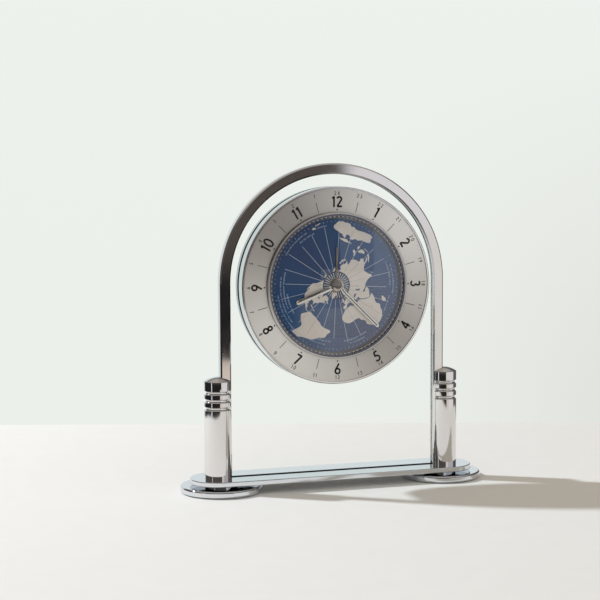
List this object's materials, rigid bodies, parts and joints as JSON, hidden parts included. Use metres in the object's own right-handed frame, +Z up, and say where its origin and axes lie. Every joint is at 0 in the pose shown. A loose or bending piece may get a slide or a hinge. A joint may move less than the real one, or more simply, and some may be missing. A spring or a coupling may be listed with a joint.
{
  "type": "world time table clock",
  "caption": "Table clock with a turning polar world map in a round dial, carried by a clear panel in an arched bar between two grooved posts.",
  "frame": {"origin": "on the table, midway between the two feet, under the middle of the panel", "axes": "+X to the right seen from the dial side, +Y from the dial to the back, +Z up"},
  "size_m": [0.2168, 0.056, 0.2225],
  "materials": {
    "polished_stand": "polished",
    "polished_base": "polished",
    "felt": "felt",
    "clear_panel": "clear",
    "screw_steel": "plain",
    "case_front": "satin",
    "case_rear": "satin",
    "numeral_ring": "fine brushed",
    "crystal": "clear",
    "crystal_ring": "polished",
    "inner_wall": "satin",
    "dial_plate": "mill",
    "gasket": "matt",
    "world_map": "printed",
    "hand_silver": "satin",
    "alarm_hand": "satin",
    "wheel_brass": "cut",
    "arbor_steel": "turned",
    "train_plate": "satin",
    "movement": "matt",
    "battery": "plain",
    "contact_nickel": "plated",
    "back_cover": "matt",
    "door": "matt",
    "knob": "satin",
    "switch": "satin"
  },
  "bodies": {
    "clock_stand": {"foot_left": "polished_base", "foot_right": "polished_base", "felt_pad_left": "felt", "felt_pad_right": "felt", "foot_spacer_left": "polished_base", "foot_spacer_right": "polished_base", "post_left": "polished_stand", "post_right": "polished_stand", "base_plate": "polished_base", "arch_bar": "polished_stand", "clear_panel": "clear_panel", "post_screws": "screw_steel", "leg_screws": "screw_steel", "front_bezel": "case_front", "numeral_ring": "numeral_ring", "crystal": "crystal", "crystal_ring": "crystal_ring", "inner_wall_ring": "inner_wall", "dial_plate": "dial_plate", "front_gasket": "gasket", "rear_gasket": "gasket", "rear_case": "case_rear", "train_plate": "train_plate", "train_pillars": "train_plate", "pillar_screws": "screw_steel", "movement_case": "movement", "battery_cell": "battery", "battery_contacts": "contact_nickel", "case_back": "back_cover", "back_screws": "screw_steel", "door_hinge_pin": "arbor_steel"},
    "minute_works": {"centre_arbor": "arbor_steel", "minute_hand": "hand_silver", "hand_cap": "hand_silver", "time_set_knob": "knob"},
    "hour_works": {"hour_wheel": "wheel_brass", "hour_hand": "hand_silver"},
    "motion_wheel": {"minute_wheel": "wheel_brass"},
    "first_idler_wheel": {"first_idler": "wheel_brass"},
    "second_idler_wheel": {"second_idler": "wheel_brass"},
    "world_works": {"world_wheel": "wheel_brass", "map_disc": "world_map"},
    "alarm_works": {"alarm_wheel": "wheel_brass", "alarm_hand": "alarm_hand"},
    "alarm_setting": {"alarm_arbor": "arbor_steel", "alarm_set_knob": "knob"},
    "alarm_slide": {"alarm_switch": "switch"},
    "battery_cover": {"battery_door": "door"}
  },
  "joints": [
    {"name": "minute_turn", "type": "hinge", "parent": "clock_stand", "child": "minute_works", "pos_m": [0, 0, 0.13901], "axis": [0, 1, 0], "continuous": true},
    {"name": "hour_turn", "type": "hinge", "parent": "clock_stand", "child": "hour_works", "pos_m": [0, 0, 0.13901], "axis": [0, 1, 0], "continuous": true},
    {"name": "motion_wheel_turn", "type": "hinge", "parent": "clock_stand", "child": "motion_wheel", "pos_m": [0, 0, 0.12701], "axis": [0, 1, 0], "continuous": true},
    {"name": "first_idler_turn", "type": "hinge", "parent": "clock_stand", "child": "first_idler_wheel", "pos_m": [-0.01039, 0, 0.14501], "axis": [0, 1, 0], "continuous": true},
    {"name": "second_idler_turn", "type": "hinge", "parent": "clock_stand", "child": "second_idler_wheel", "pos_m": [-0.00574, 0, 0.15607], "axis": [0, 1, 0], "continuous": true},
    {"name": "world_turn", "type": "hinge", "parent": "clock_stand", "child": "world_works", "pos_m": [0, 0, 0.13901], "axis": [0, 1, 0], "continuous": true},
    {"name": "alarm_turn", "type": "hinge", "parent": "clock_stand", "child": "alarm_works", "pos_m": [0, 0, 0.13901], "axis": [0, 1, 0], "continuous": true},
    {"name": "alarm_setting_turn", "type": "hinge", "parent": "clock_stand", "child": "alarm_setting", "pos_m": [0.01039, 0, 0.14501], "axis": [0, 1, 0], "continuous": true},
    {"name": "alarm_switch_slide", "type": "slide", "parent": "clock_stand", "child": "alarm_slide", "axis": [1, 0, 0], "range_m": [0, 0.004]},
    {"name": "battery_door_hinge", "type": "hinge", "parent": "clock_stand", "child": "battery_cover", "pos_m": [0, 0.0211, 0.11061], "axis": [-1, 0, 0], "range_deg": [0, 110]}
  ],
  "couplings": [
    {"joint": "hour_turn", "follows": "minute_turn", "ratio": 0.083333},
    {"joint": "motion_wheel_turn", "follows": "minute_turn", "ratio": -0.33333},
    {"joint": "first_idler_turn", "follows": "minute_turn", "ratio": -0.083333},
    {"joint": "second_idler_turn", "follows": "minute_turn", "ratio": 0.083333},
    {"joint": "world_turn", "follows": "minute_turn", "ratio": -0.041667},
    {"joint": "alarm_setting_turn", "follows": "alarm_turn", "ratio": -3}
  ]
}
